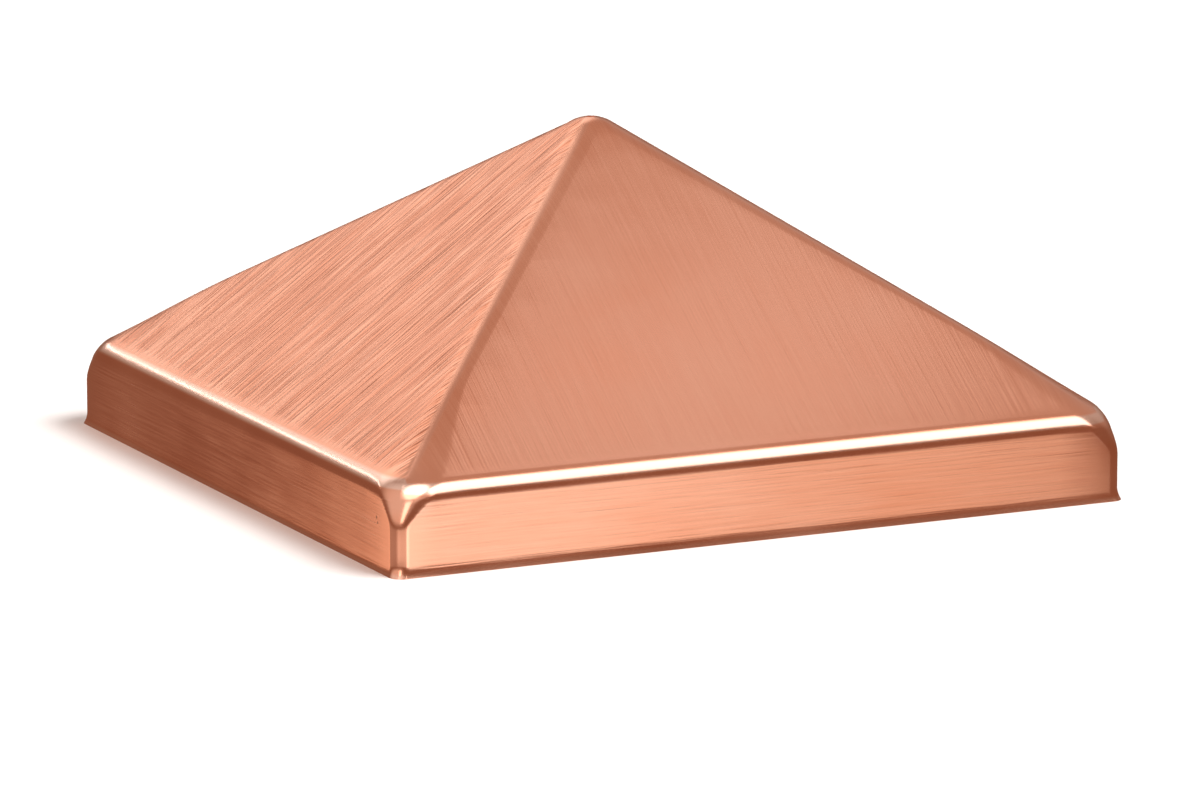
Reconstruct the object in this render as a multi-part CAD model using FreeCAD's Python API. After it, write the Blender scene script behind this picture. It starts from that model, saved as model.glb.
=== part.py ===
import FreeCAD, Part
import math
import os

# Fence post cap: a four-sided pyramid pressed from one sheet of copper, with foam pads inside.
# Millimetres, +Z up. The origin is the middle of the open rim, in the plane of the cut edge.

# The post, and how the cap sits round it.
post_size = 88.9
post_clearance = 3.5

# The pressed sheet.
sheet_thickness = 0.55
skirt_height = 10.4
roof_pitch = math.radians(35.2)
eave_bend_radius = 3.2
lip_flare = 0.28
lip_height = 1.4

# Plan radius of the corners, from the rim up to the apex. They swell into a ball at the eave.
rim_corner_radius = 1.6
skirt_corner_radius = 1.9
ball_corner_radius = 5.6
hip_radius = 2.2
apex_radius = 3.0
ball_above_eave = 0.3
ball_drop = 5.0
ball_rise = 9.6

# The adhesive foam pads that the top edges of the post press against.
pad_thickness = 1.6
pad_width = 12.7
pad_length = 20.0
pad_eave_gap = 0.8
pad_hip_gap = 1.0

skirt_half = post_size / 2 + post_clearance + sheet_thickness
tilt_cos = math.cos(roof_pitch)
tilt_sin = math.sin(roof_pitch)
tilt_tan = math.tan(roof_pitch)
bend_angle = math.pi / 2 - roof_pitch
bend_centre = skirt_half - eave_bend_radius
bend_foot = skirt_height - eave_bend_radius * math.tan(bend_angle / 2)
bend_top = bend_foot + eave_bend_radius * math.sin(bend_angle)
ridge_height = skirt_height + skirt_half * tilt_tan
ball_level = skirt_height + ball_above_eave
ball_foot = ball_level - ball_drop
ball_top = ball_level + ball_rise
cap_foot = ridge_height - apex_radius * tilt_tan


def ease(share):
    """A share from 0 to 1, slowed at both ends."""
    return share * share * (3 - 2 * share)


def blend(first, last, share):
    return first + (last - first) * share


def steps(count):
    """Equal shares of a run, from its start to its end."""
    return [index / count for index in range(count + 1)]


class Station:
    """One level of the pressed form: a square with round corners, flush with the skin."""

    def __init__(self, half, height, radius, normal_out, inset):
        # The skin is moved in along its normal, so that the sheet is equally thick everywhere.
        normal_up = math.sqrt(1 - normal_out * normal_out)
        self.half = half - inset * normal_out
        self.height = height - inset * normal_up
        self.radius = radius - inset * normal_out

    def point(self, x, y):
        return FreeCAD.Vector(x, y, self.height)

    def corner(self, quarter):
        """The arc round one corner, from one side of the cap to the next."""
        centre = self.half - self.radius
        angles = [math.pi / 2 * quarter + share * math.pi / 2 for share in (0, 0.5, 1)]
        turn = math.pi / 2 * quarter + math.pi / 4
        middle_x = centre * math.sqrt(2) * math.cos(turn)
        middle_y = centre * math.sqrt(2) * math.sin(turn)
        points = [
            self.point(middle_x + self.radius * math.cos(a), middle_y + self.radius * math.sin(a))
            for a in angles
        ]
        return Part.Arc(*points).toShape()

    def wire(self):
        edges = []
        for quarter in range(4):
            arc = self.corner(quarter)
            following = self.corner((quarter + 1) % 4)
            edges.append(arc)
            edges.append(Part.makeLine(arc.lastVertex().Point, following.firstVertex().Point))
        return Part.Wire(edges)


def lip_stations(inset):
    """The rim flares outwards over its last height."""
    rim = Station(skirt_half + lip_flare, 0, rim_corner_radius, 1, inset)
    top = Station(skirt_half, lip_height, skirt_corner_radius, 1, inset)
    return [rim, top]


def corner_radius(height):
    """The corner swells from the skirt into the ball, which dies into the hip above the eave."""
    if height < ball_level:
        share = max(height - ball_foot, 0) / ball_drop
        return blend(skirt_corner_radius, ball_corner_radius, ease(share))
    share = max(ball_top - height, 0) / ball_rise
    along_hip = max(height - ball_top, 0) / (cap_foot - ball_top)
    hip = blend(hip_radius, apex_radius, along_hip)
    return blend(hip, ball_corner_radius, ease(share))


def skirt_station(height, inset):
    return Station(skirt_half, height, corner_radius(height), 1, inset)


def plain_skirt_stations(inset):
    """The upright sides, from the top of the lip to where the balls begin."""
    return [skirt_station(height, inset) for height in (lip_height, ball_foot)]


def ball_skirt_stations(inset):
    return [skirt_station(blend(ball_foot, bend_foot, share), inset) for share in steps(4)]


def bend_stations(inset):
    """The eave: an arc from the upright skirt to the slope of the roof."""
    stations = []
    for share in steps(6):
        angle = bend_angle * share
        half = bend_centre + eave_bend_radius * math.cos(angle)
        height = bend_foot + eave_bend_radius * math.sin(angle)
        stations.append(Station(half, height, corner_radius(height), math.cos(angle), inset))
    return stations


def roof_station(height, inset):
    half = (ridge_height - height) / tilt_tan
    return Station(half, height, corner_radius(height), tilt_sin, inset)


def roof_stations(inset):
    return [roof_station(blend(bend_top, ball_top, share), inset) for share in steps(8)]


def loft(stations, ruled=False):
    """The faces from one station to the next, up the form."""
    return Part.makeLoft([station.wire() for station in stations], False, ruled).Faces


def slope_faces(inset):
    """Four flat slopes and four hips, from the top of the balls to the foot of the round cap."""
    low = roof_station(ball_top, inset)
    high = roof_station(cap_foot, inset)
    faces = []
    for quarter in range(4):
        low_arc = low.corner(quarter)
        high_arc = high.corner(quarter)
        next_arc = low.corner((quarter + 1) % 4)
        tip = high_arc.lastVertex().Point
        base_start = low_arc.lastVertex().Point
        base_end = next_arc.firstVertex().Point
        faces.append(Part.makeRuledSurface(low_arc, high_arc))
        faces.append(Part.Face(Part.makePolygon([base_start, base_end, tip, base_start])))
    return faces


def cap_faces(inset):
    """The round tip of the pyramid: a ball that the four slopes and the hips run into."""
    ball_radius = apex_radius / tilt_sin - inset
    centre_height = cap_foot - apex_radius / tilt_tan
    faces = []
    for quarter in range(4):
        turn = math.pi / 2 * quarter
        points = []
        for share in (1, 0.5, 0):
            reach = ball_radius * math.sin(roof_pitch * share)
            rise = ball_radius * math.cos(roof_pitch * share)
            x = reach * math.cos(turn)
            y = reach * math.sin(turn)
            points.append(FreeCAD.Vector(x, y, centre_height + rise))
        profile = Part.Arc(*points).toShape()
        faces.append(profile.revolve(FreeCAD.Vector(), FreeCAD.Vector(0, 0, 1), 90))
    return faces


def skin_faces(inset):
    """One side of the sheet, from the rim to the apex."""
    faces = loft(lip_stations(inset), ruled=True)
    faces += loft(plain_skirt_stations(inset), ruled=True)
    faces += loft(ball_skirt_stations(inset))
    faces += loft(bend_stations(inset))
    faces += loft(roof_stations(inset))
    faces += slope_faces(inset)
    faces += cap_faces(inset)
    return faces


def make_cap_shell():
    """The outer skin, the inner skin and the cut edge between them, closed into one solid."""
    outer_rim = lip_stations(0)[0].wire()
    inner_rim = lip_stations(sheet_thickness)[0].wire()
    cut_edge = Part.Face(outer_rim).cut(Part.Face(inner_rim)).Faces
    shell = Part.makeShell(skin_faces(0) + skin_faces(sheet_thickness) + cut_edge)
    shell.sewShape()
    solid = Part.makeSolid(shell)
    if solid.Volume < 0:
        solid.reverse()
    return solid


def make_pad(side, end):
    """One foam strip on the underside of a slope, end +1 or -1 along its eave."""
    lower_edge = bend_centre + (eave_bend_radius - sheet_thickness) * tilt_sin
    lower_edge -= pad_eave_gap * tilt_cos
    upper_edge = lower_edge - pad_width * tilt_cos
    outer_end = upper_edge - hip_radius - pad_hip_gap
    underside = ridge_height - sheet_thickness / tilt_cos - lower_edge * tilt_tan
    start = outer_end - pad_length if end > 0 else -outer_end
    corner = FreeCAD.Vector(-pad_width, start, -pad_thickness)
    pad = Part.makeBox(pad_width, pad_length, pad_thickness, corner)
    pad.rotate(FreeCAD.Vector(), FreeCAD.Vector(0, 1, 0), math.degrees(roof_pitch))
    pad.translate(FreeCAD.Vector(lower_edge, 0, underside))
    pad.rotate(FreeCAD.Vector(), FreeCAD.Vector(0, 0, 1), 90 * side)
    return pad


os.makedirs("parts", exist_ok=True)
make_cap_shell().exportStep("parts/cap_shell.step")

sides = ["right", "back", "left", "front"]
for side, slope in enumerate(sides):
    for end in (1, -1):
        corner = sides[(side + end) % 4]
        make_pad(side, end).exportStep(f"parts/pad_{slope}_{corner}.step")
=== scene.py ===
import math

import bmesh
import bpy
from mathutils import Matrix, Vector


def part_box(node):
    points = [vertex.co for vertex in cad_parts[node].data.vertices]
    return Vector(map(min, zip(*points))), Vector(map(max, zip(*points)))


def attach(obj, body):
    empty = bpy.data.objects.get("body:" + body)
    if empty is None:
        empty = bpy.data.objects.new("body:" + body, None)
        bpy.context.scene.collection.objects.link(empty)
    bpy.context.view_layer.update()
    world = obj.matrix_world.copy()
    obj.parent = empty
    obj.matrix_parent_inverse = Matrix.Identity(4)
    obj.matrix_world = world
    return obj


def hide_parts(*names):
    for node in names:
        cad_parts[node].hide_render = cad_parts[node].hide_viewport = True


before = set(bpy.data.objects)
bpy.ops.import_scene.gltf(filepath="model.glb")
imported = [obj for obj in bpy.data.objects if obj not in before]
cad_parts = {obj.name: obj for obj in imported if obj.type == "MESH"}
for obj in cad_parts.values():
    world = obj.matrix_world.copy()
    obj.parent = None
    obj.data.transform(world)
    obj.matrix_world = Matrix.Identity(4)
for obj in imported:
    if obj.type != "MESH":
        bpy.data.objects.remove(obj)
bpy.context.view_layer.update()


# Cap shell: the whole of the cap, one blank of 0.55 mm copper sheet pressed over a die into a
# four-sided pyramid. The eaves and hips are bent round, the corners are drawn into balls, and
# the skirt's cut edge flares out a little. It drops over the post and nothing pierces it.

MM = 0.001

cap_low, cap_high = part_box("cap_shell")
sheet = 0.55 * MM
lip_flare = 0.28 * MM
lip_height = 1.4 * MM
eave_height = 10.4 * MM
eave_bend = 3.2 * MM
rim_corner = 1.6 * MM
skirt_corner = 1.9 * MM
ball_corner = 5.6 * MM
hip_corner = 2.2 * MM
apex_corner = 3.0 * MM
ball_level = eave_height + 0.3 * MM
ball_drop = 5.0 * MM
ball_rise = 9.6 * MM
edge_round = 0.1 * MM

skirt_half = cap_high.x - lip_flare
pitch = math.radians(35.2)
bend_angle = math.pi / 2 - pitch
bend_centre = skirt_half - eave_bend
bend_foot = eave_height - eave_bend * math.tan(bend_angle / 2)
bend_top = bend_foot + eave_bend * math.sin(bend_angle)
ridge_height = eave_height + skirt_half * math.tan(pitch)
ball_foot = ball_level - ball_drop
ball_top = ball_level + ball_rise
tip_foot = ridge_height - apex_corner * math.tan(pitch)

# How finely each stretch of the form is cut, from the rim up, and across the flat faces.
corner_steps = 12
lip_steps = 4
skirt_steps = 3
ball_steps = 5
bend_steps = 12
slope_steps = 9
tip_steps = 6
cross_cuts = 9
cross_cut_gap = 4.4 * MM


def blend(first, last, share):
    return first + (last - first) * share


def ease(share):
    share = min(max(share, 0), 1)
    return share * share * (3 - 2 * share)


def corner_at(height):
    """Plan radius of the cap's corners at a height."""
    if height < ball_level:
        return blend(skirt_corner, ball_corner, ease((height - ball_foot) / ball_drop))
    along_hip = max(height - ball_top, 0) / (tip_foot - ball_top)
    hip = blend(hip_corner, apex_corner, along_hip)
    return blend(hip, ball_corner, ease((ball_top - height) / ball_rise))


def levels(first, last, count):
    """Heights from just above the first to the last."""
    return [blend(first, last, (step + 1) / count) for step in range(count)]


def edit(piece):
    """Opens a piece for work on its mesh, with nothing else selected."""
    bpy.ops.object.select_all(action="DESELECT")
    piece.select_set(True)
    bpy.context.view_layer.objects.active = piece
    bpy.ops.object.mode_set(mode="EDIT")
    bpy.ops.mesh.select_all(action="DESELECT")


def leave():
    """Closes the piece that is being worked on."""
    bpy.ops.object.mode_set(mode="OBJECT")


def hoop(half, height, radius):
    """A square wire with round corners, lying level."""
    bpy.ops.mesh.primitive_plane_add(size=2 * half, location=(0, 0, height))
    made = bpy.context.object
    edit(made)
    bpy.ops.mesh.select_all(action="SELECT")
    bpy.ops.mesh.bevel(offset=radius, segments=corner_steps, affect="VERTICES")
    bpy.ops.mesh.select_all(action="SELECT")
    bpy.ops.mesh.delete(type="ONLY_FACE")
    leave()
    return made


hoops = []
for step in range(lip_steps + 1):
    share = step / lip_steps
    spread = lip_flare * (1 - share) ** 2
    radius = blend(rim_corner, skirt_corner, share)
    hoops.append(hoop(skirt_half + spread, lip_height * share, radius))
for height in levels(lip_height, ball_foot, skirt_steps) + levels(ball_foot, bend_foot, ball_steps):
    hoops.append(hoop(skirt_half, height, corner_at(height)))
for angle in levels(0, bend_angle, bend_steps):
    height = bend_foot + eave_bend * math.sin(angle)
    half = bend_centre + eave_bend * math.cos(angle)
    hoops.append(hoop(half, height, corner_at(height)))
for height in levels(bend_top, ball_top, slope_steps) + levels(ball_top, tip_foot, slope_steps):
    half = (ridge_height - height) / math.tan(pitch)
    hoops.append(hoop(half, height, min(corner_at(height), half)))
tip_ball = apex_corner / math.sin(pitch)
for angle in levels(pitch, 0, tip_steps)[:-1]:
    reach = tip_ball * math.sin(angle)
    height = tip_foot + tip_ball * (math.cos(angle) - math.cos(pitch))
    hoops.append(hoop(reach, height, reach))

bpy.ops.object.select_all(action="DESELECT")
for wire in hoops:
    wire.select_set(True)
shell = hoops[0]
bpy.context.view_layer.objects.active = shell
bpy.ops.object.join()
shell.name = "cap_skin"
shell.data.name = "cap_skin"
edit(shell)
bpy.ops.mesh.select_all(action="SELECT")
bpy.ops.mesh.bridge_edge_loops()
bpy.ops.mesh.select_all(action="DESELECT")
form = bmesh.from_edit_mesh(shell.data)
for edge in form.edges:
    edge.select = edge.is_boundary and edge.verts[0].co.z > tip_foot
form.select_flush(True)
bpy.ops.mesh.extrude_region_move()
bpy.ops.mesh.merge(type="CENTER")
tip_height = tip_foot + tip_ball * (1 - math.cos(pitch))
form = bmesh.from_edit_mesh(shell.data)
for corner in form.verts:
    corner.select = False
tip = max(form.verts, key=lambda corner: corner.co.z)
tip.select = True
bpy.ops.transform.translate(value=(0, 0, tip_height - tip.co.z))

# Cross cuts keep the long flat faces from shading as single planes.
for axis in (Vector((1, 0, 0)), Vector((0, 1, 0))):
    for step in range(-cross_cuts, cross_cuts + 1):
        bpy.ops.mesh.select_all(action="SELECT")
        bpy.ops.mesh.bisect(plane_co=axis * (step * cross_cut_gap), plane_no=axis)
bpy.ops.mesh.select_all(action="SELECT")
bpy.ops.mesh.remove_doubles(threshold=0.002 * MM)
bpy.ops.mesh.normals_make_consistent(inside=False)
leave()

# The sheet gets its thickness inwards. Its cut edge is then levelled, and eased all round.
wall = shell.modifiers.new("wall", "SOLIDIFY")
wall.thickness = sheet
wall.offset = -1
wall.use_even_offset = True
wall.material_offset = 1
bpy.ops.object.modifier_apply(modifier=wall.name)
edit(shell)
form = bmesh.from_edit_mesh(shell.data)
for corner in form.verts:
    corner.select = corner.co.z < 0.05 * MM
bpy.ops.transform.resize(value=(1, 1, 0), center_override=(0, 0, 0))
form = bmesh.from_edit_mesh(shell.data)
for edge in form.edges:
    ends_low = all(corner.co.z < 0.01 * MM for corner in edge.verts)
    side_up = sum(abs(face.normal.z) > 0.9 for face in edge.link_faces)
    edge.select = ends_low and side_up == 1
bpy.ops.mesh.bevel(offset=edge_round, segments=2, affect="EDGES")
leave()
bpy.ops.object.shade_smooth_by_angle(angle=math.radians(40))


class Signal:
    """A value in a finish's node tree. Arithmetic on it adds Math nodes."""

    def __init__(self, nodes, socket):
        self.nodes = nodes
        self.socket = socket

    def math(self, operation, *others, clamp=False):
        values = dict(enumerate((self, *others)))
        return self.nodes.node("Math", {"operation": operation, "use_clamp": clamp}, values)

    def __add__(self, other):
        return self.math("ADD", other)

    def __radd__(self, other):
        return self.math("ADD", other)

    def __sub__(self, other):
        return self.math("SUBTRACT", other)

    def __rsub__(self, other):
        return self.nodes.node("Math", {"operation": "SUBTRACT"}, {0: other, 1: self})

    def __mul__(self, other):
        return self.math("MULTIPLY", other)

    def __rmul__(self, other):
        return self.math("MULTIPLY", other)

    def __abs__(self):
        return self.math("ABSOLUTE")

    def rise(self, low, high):
        """0 below the low value, 1 above the high one, and smooth between."""
        settings = {"interpolation_type": "SMOOTHSTEP"}
        values = {"Value": self, "From Min": low, "From Max": high}
        return self.nodes.node("MapRange", settings, values)

    def between(self, first, last):
        """The first value where this is 0, the last where it is 1."""
        return first + self * (last - first)


class Nodes:
    """A node tree, and one way to add any node to it."""

    def __init__(self, tree):
        self.tree = tree

    def node(self, kind, settings=None, values=None, output=0):
        made = self.tree.nodes.new("ShaderNode" + kind)
        for name, value in (settings or {}).items():
            setattr(made, name, value)
        self.feed(made, values or {})
        return Signal(self, made.outputs[output])

    def feed(self, made, values):
        for name, value in values.items():
            if isinstance(value, Signal):
                self.tree.links.new(value.socket, made.inputs[name])
            else:
                made.inputs[name].default_value = value

    def vector(self, x, y, z):
        return self.node("CombineXYZ", {}, {0: x, 1: y, 2: z})

    def noise(self, x, y, z, detail=2.0):
        """Cloudy noise from 0 to 1 about 0.5, its grain one unit of the place given."""
        values = {"Vector": self.vector(x, y, z), "Scale": 1.0, "Detail": detail}
        return self.node("TexNoise", {}, values)

    def mix(self, share, first, last):
        """Mixes two colours."""
        return self.node("Mix", {"data_type": "RGBA"}, {0: share, 6: first, 7: last}, output=2)

    def axes(self):
        """The piece's own X, Y and Z in millimetres."""
        place = self.node("TexCoord", output=3)
        scaled = self.node("VectorMath", {"operation": "SCALE"}, {0: place, "Scale": 1000.0})
        return [self.node("SeparateXYZ", {}, {0: scaled}, output=axis) for axis in range(3)]


class Finish(Nodes):
    """A material for one of the pieces."""

    def __init__(self, name):
        self.material = bpy.data.materials.new(name)
        self.material.use_nodes = True
        super().__init__(self.material.node_tree)

    def set(self, **values):
        """Sets or links the shader's own sockets, a space in a name written as _."""
        shader = self.tree.nodes["Principled BSDF"]
        self.feed(shader, {name.replace("_", " "): value for name, value in values.items()})


def brushed_copper(name, base, deep, bright, roughness, depth):
    """Satin copper: brushed up the slopes and along the skirt, with a pale highlight painted on its
    bends.

    The depth of its relief is in metres, and every other length is in millimetres. Noise takes a
    place multiplied by its grains per millimetre.
    """
    finish = Finish(name)
    eave_level = eave_height / MM
    x, y, z = finish.axes()
    wide = abs(x)
    far = abs(y)
    on_sides = ((wide - far) * 1.5 + 0.5).math("ADD", 0.0, clamp=True)
    along = x + (y - x) * on_sides
    outward = wide.math("MAXIMUM", far)
    # Each face gets a number of its own, so that its streaks differ from the next one's.
    face = (x.math("SIGN") + 4.0) * on_sides + y.math("SIGN") * (1 - on_sides)
    on_roof = z.rise(eave_level - 0.8, eave_level + 0.2)

    slope_fine = finish.noise(along * 4.2, outward * 0.10, face * 17.3, detail=1.5)
    slope_bold = finish.noise(along * 1.1, outward * 0.04, face * 9.1, detail=2.0)
    skirt_fine = finish.noise(along * 0.09, z * 4.2, face * 23.7, detail=1.5)
    skirt_bold = finish.noise(along * 0.03, z * 1.0, face * 5.3, detail=2.0)
    fine = skirt_fine + (slope_fine - skirt_fine) * on_roof - 0.5
    bold = skirt_bold + (slope_bold - skirt_bold) * on_roof - 0.5
    cloud = finish.noise(x * 0.05, y * 0.05, z * 0.08 + 3.0, detail=3.0) - 0.5

    # The two side faces are brushed harder than the front and the back.
    skirt_strength = on_sides.between(0.22, 0.40)
    strength = skirt_strength + (on_sides.between(0.15, 1.12) - skirt_strength) * on_roof

    # The bends and the rim, each 1 there and 0 on the flats. Brushing dies out on them. The crest is
    # the line along each eave where a pale highlight is painted.
    hip = (1 - abs(wide - far).rise(0.35, 1.1)) * on_roof
    eave = 1 - abs(z - (eave_level - 0.1)).rise(0.9, 2.0)
    crest_level = on_sides.between(eave_level - 0.15, eave_level + 0.25)
    crest = 1 - abs(z - crest_level).rise(0.35, 0.75)
    rim = 1 - z.rise(0.2, 0.7)
    ball = wide.math("MINIMUM", far).rise(42.5, 47.0)
    bends = hip.math("MAXIMUM", eave).math("MAXIMUM", rim).math("MAXIMUM", ball)
    hard_brushed = strength * (1 - bends * 0.94)

    tone = (bold * 1.2 + fine * 4.2) * hard_brushed + cloud * 1.5 + 0.55
    colour = finish.mix(tone.math("ADD", 0.0, clamp=True), (*deep, 1), (*base, 1))
    # Painted highlight: the bright colour is painted on the eave crests, and fainter on the hips,
    # rim and corner balls.
    painted_highlight = (hip * 0.2).math("MAXIMUM", crest).math("MAXIMUM", rim * 0.5)
    painted_highlight = painted_highlight.math("MAXIMUM", ball * z.rise(6.5, 8.5) * (1 - z.rise(12.0, 15.0)) * 0.2)
    colour = finish.mix(painted_highlight * 0.85, colour, (*bright, 1))

    # Two small pits in the left side of the skirt, near the front corner.
    pit_x = -skirt_half / MM
    for pit_y, pit_z, size in ((-43.2, 6.4, 0.09), (-43.5, 5.8, 0.07)):
        away = finish.node(
            "VectorMath", {"operation": "DISTANCE"},
            {0: finish.vector(x, y, z), 1: (pit_x, pit_y, pit_z)}, output=1,
        )
        pit = (1 - away.rise(size, size + 0.15)) * 0.8
        colour = finish.mix(pit, colour, (0.12, 0.05, 0.03, 1))

    rough = roughness + fine * 0.30 * hard_brushed + cloud * 0.16 - bends * 0.06
    relief = (fine * 1.0 + bold * 1.3) * hard_brushed
    bump = finish.node("Bump", {}, {"Height": relief, "Distance": depth, "Strength": 1.0})
    finish.set(Base_Color=colour, Roughness=rough, Normal=bump, Metallic=1.0)
    return finish.material


outside = brushed_copper(
    "brushed_copper",
    base=(0.99, 0.475, 0.31), deep=(0.84, 0.33, 0.19), bright=(0.99, 0.70, 0.57),
    roughness=0.23, depth=0.090 * MM,
)
inside = brushed_copper(
    "dull_copper",
    base=(0.62, 0.30, 0.19), deep=(0.45, 0.20, 0.13), bright=(0.66, 0.34, 0.22),
    roughness=0.42, depth=0.03 * MM,
)
shell.data.materials.append(outside)
shell.data.materials.append(inside)
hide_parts("cap_shell")
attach(shell, "root")


# Foam pads: eight strips cut from a roll of black foam tape, sticky on both faces, pressed on
# to the undersides of the slopes beside each corner. The top edges of the post bed in them.

pad_length = 20.0 * MM
pad_width = 12.7 * MM
pad_thickness = 1.6 * MM
pad_edge_round = 0.18 * MM
pad_spans_across = 7
pad_spans_along = 11
pad_nodes = [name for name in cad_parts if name.startswith("pad_")]

bpy.ops.object.select_all(action="DESELECT")
bpy.ops.mesh.primitive_cube_add(size=1, location=(0, 0, 0))
strip = bpy.context.object
strip.scale = (pad_width, pad_length, pad_thickness)
bpy.ops.object.transform_apply(location=True, rotation=True, scale=True)
edit(strip)
bpy.ops.mesh.select_all(action="SELECT")
bpy.ops.mesh.bevel(offset=pad_edge_round, segments=2, affect="EDGES")
across_pad = (Vector((1, 0, 0)), pad_width / 2, pad_spans_across)
along_pad = (Vector((0, 1, 0)), pad_length / 2, pad_spans_along)
for axis, half, count in (across_pad, along_pad):
    for step in range(1, count):
        bpy.ops.mesh.select_all(action="SELECT")
        place = axis * blend(-half, half, step / count)
        bpy.ops.mesh.bisect(plane_co=place, plane_no=axis)
leave()


def closed_foam():
    """Black closed-cell foam: small swollen cells, greyer in the grooves between them."""
    finish = Finish("black_foam")
    x, y, z = finish.axes()
    cells = finish.node(
        "TexVoronoi", {"feature": "DISTANCE_TO_EDGE"},
        {"Vector": finish.vector(x, y, z), "Scale": 2.6},
    )
    cloud = finish.noise(x * 0.4, y * 0.4, z * 0.4)
    grooves = 1 - cells.rise(0.02, 0.16)
    colour = finish.mix(cloud * 0.5 + grooves * 0.5, (0.018, 0.018, 0.02, 1), (0.07, 0.07, 0.075, 1))
    swell = cells.rise(0.0, 0.2)
    bump = finish.node("Bump", {}, {"Height": swell, "Distance": 0.05 * MM, "Strength": 0.8})
    finish.set(Base_Color=colour, Roughness=0.72 - grooves * 0.15, Normal=bump, Metallic=0.0)
    return finish.material


strip.data.materials.append(closed_foam())
turns = {"right": 0, "back": 90, "left": 180, "front": 270}
for name in pad_nodes:
    low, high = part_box(name)
    pad = strip.copy()
    pad.data = strip.data.copy()
    pad.name = name.replace("pad_", "foam_")
    bpy.context.collection.objects.link(pad)
    bpy.ops.object.select_all(action="DESELECT")
    pad.select_set(True)
    bpy.context.view_layer.objects.active = pad
    side = name.split("_")[1]
    pad.rotation_euler = (0, pitch, math.radians(turns[side]))
    pad.location = (low + high) / 2
    bpy.ops.object.transform_apply(location=True, rotation=True, scale=True)
    bpy.ops.object.shade_smooth_by_angle(angle=math.radians(35))
    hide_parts(name)
    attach(pad, "root")
bpy.data.objects.remove(strip)


# Table: a plain painted top that the cap stands on, wide enough to fill the view. It is left
# out of the copper's reflections, and lets the light of the low panels through to the skirt.

table_size = 8.0
table_gap = 0.02 * MM

bpy.ops.mesh.primitive_plane_add(size=table_size, location=(0, 0, cap_low.z - table_gap))
table = bpy.context.object
table.name = "table"
paint = Finish("pale_table")
paint.set(Base_Color=(0.86, 0.855, 0.845, 1), Roughness=0.6)
table.data.materials.append(paint.material)
table.visible_glossy = False
table.visible_shadow = False


# Light: a soft key for the table and the foam, and a room for the copper to mirror. The room is
# brightest behind the cap. Panels seen only in the copper light its bends, balls and skirt.

def soft_box(name, bearing, height, distance, size, radiance, tint=(1, 1, 1)):
    """A lit panel facing the cap.

    The bearing is in degrees from the front towards the right, and the height in degrees above
    level. The radiance is what a mirror would show of the panel.
    """
    data = bpy.data.lights.new(name, "AREA")
    data.shape = "RECTANGLE"
    data.size, data.size_y = size
    data.color = tint
    data.energy = radiance * math.pi * size[0] * size[1]
    lamp = bpy.data.objects.new(name, data)
    level = math.cos(math.radians(height)) * distance
    turn = math.radians(bearing)
    rise = math.sin(math.radians(height)) * distance
    lamp.location = (level * math.sin(turn), -level * math.cos(turn), rise)
    facing = Vector((0, 0, 20 * MM)) - lamp.location
    lamp.rotation_euler = facing.to_track_quat("-Z", "Y").to_euler()
    lamp.visible_diffuse = False
    lamp.visible_camera = False
    bpy.context.collection.objects.link(lamp)
    return lamp


soft_box("front_box", 32, 42, 1.5, (1.10, 0.92), 1.65)
soft_box("front_fill", -8, 45, 1.5, (0.9, 0.8), 0.45)
ball_box = soft_box("ball_box", -41, 61, 1.5, (1.15, 1.0), 1.3)
ball_box.data.shape = "ELLIPSE"
soft_box("ball_strip", -44, 25, 1.5, (0.40, 0.62), 1.5)
soft_box("back_strip", 200.5, 19.5, 1.5, (0.9, 0.035), 3.8)
soft_box("top_panel", 89, 66, 0.37, (0.05, 0.10), 0.52, (0.88, 1.12, 1.32))
soft_box("skirt_panel", 11, -10.5, 0.275, (0.225, 0.08), 0.72, (0.95, 1.01, 0.98))
soft_box("skirt_panel_left", 3, -10.5, 0.272, (0.16, 0.08), 0.44, (0.82, 1.15, 1.40))
soft_box("corner_panel", 237, -13.5, 0.16, (0.06, 0.06), 0.66, (1.0, 0.80, 0.64))
key = soft_box("key", 40, 55, 2.5, (1.6, 1.2), 14.0)
key.visible_diffuse = True
key.visible_glossy = False

world = bpy.data.worlds.new("pale_room")
world.use_nodes = True
bpy.context.scene.world = world
room = Nodes(world.node_tree)
gaze = room.node("TexCoord", output=3)
skyward = room.node("SeparateXYZ", {}, {0: gaze}, output=2)


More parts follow.
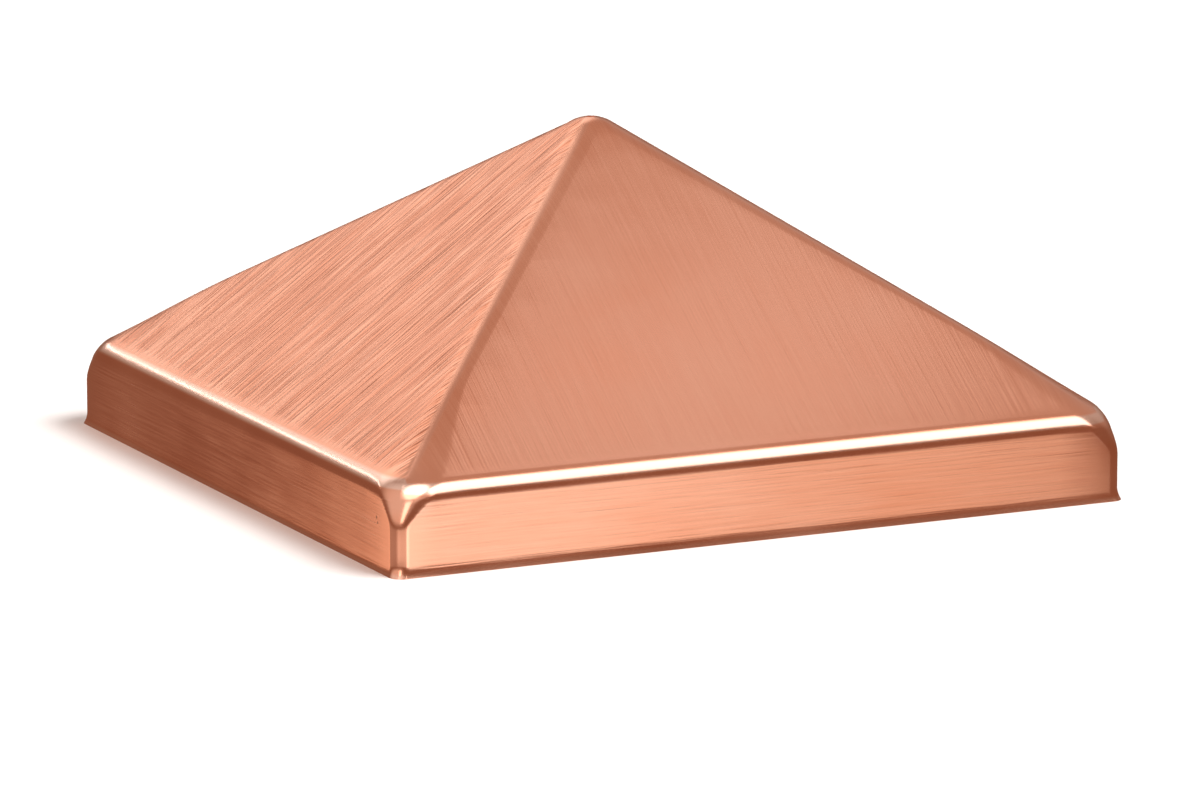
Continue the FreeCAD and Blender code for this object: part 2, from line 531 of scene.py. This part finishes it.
def towards(direction, inner, outer):
    """1 within the inner angle of a direction, and 0 outside the outer one, in degrees."""
    unit = Vector(direction).normalized()
    near = room.node("VectorMath", {"operation": "DOT_PRODUCT"}, {0: gaze, 1: unit}, output=1)
    return near.rise(math.cos(math.radians(outer)), math.cos(math.radians(inner)))


back_wall = towards((-0.05, 0.88, 0.47), 13, 41) * skyward.rise(0.10, 0.60) * 1.04
ceiling = towards((0.25, 0.0, 0.97), 18, 62) * 0.26
right_wall = towards((0.60, 0.40, 0.68), 15, 45) * 0.24
left_wall = towards((-0.85, -0.15, 0.50), 20, 60) * skyward.rise(0.0, 0.3) * 0.51
below = (0 - skyward).rise(0.04, 0.15)
front_glow = towards((-0.45, -0.87, -0.20), 28, 50) * below * 0.60
left_glow = towards((-0.9, 0.15, -0.2), 20, 55) * below * 0.20
lip_glow = towards((0.30, -0.55, -0.78), 15, 38) * 0.31
floor_glow = towards((0.0, 0.0, -1.0), 30, 85) * 0.08
amount = back_wall.math("MAXIMUM", ceiling)
amount = amount.math("MAXIMUM", left_wall).math("MAXIMUM", right_wall)
amount = amount + front_glow + left_glow + lip_glow + floor_glow
dim_wall = (0.26, 0.145, 0.10, 1)
bright_wall = (1.30, 1.25, 1.22, 1)
glow = room.mix(amount, dim_wall, bright_wall)
room.feed(world.node_tree.nodes["Background"], {"Color": glow, "Strength": 1.0})
bpy.context.scene.view_settings.view_transform = "Standard"


# Camera: a long lens, a little above the cap and turned towards its front left corner.

turn = math.radians(25.74)
tip_down = math.radians(12.0)
distance = 955.8 * MM
ahead = Vector((math.sin(turn), math.cos(turn), 0))
across = Vector((math.cos(turn), -math.sin(turn), 0))
aim = across * (1.15 * MM) + Vector((0, 0, 7.63 * MM))
look = ahead * math.cos(tip_down) - Vector((0, 0, math.sin(tip_down)))
camera_data = bpy.data.cameras.new("camera")
camera_data.lens = 230.6
camera_data.sensor_width = 36
camera_data.clip_start = 0.01
camera_data.clip_end = 20
camera = bpy.data.objects.new("camera", camera_data)
camera.location = aim - look * distance
camera.rotation_euler = look.to_track_quat("-Z", "Y").to_euler()
bpy.context.collection.objects.link(camera)
bpy.context.scene.camera = camera
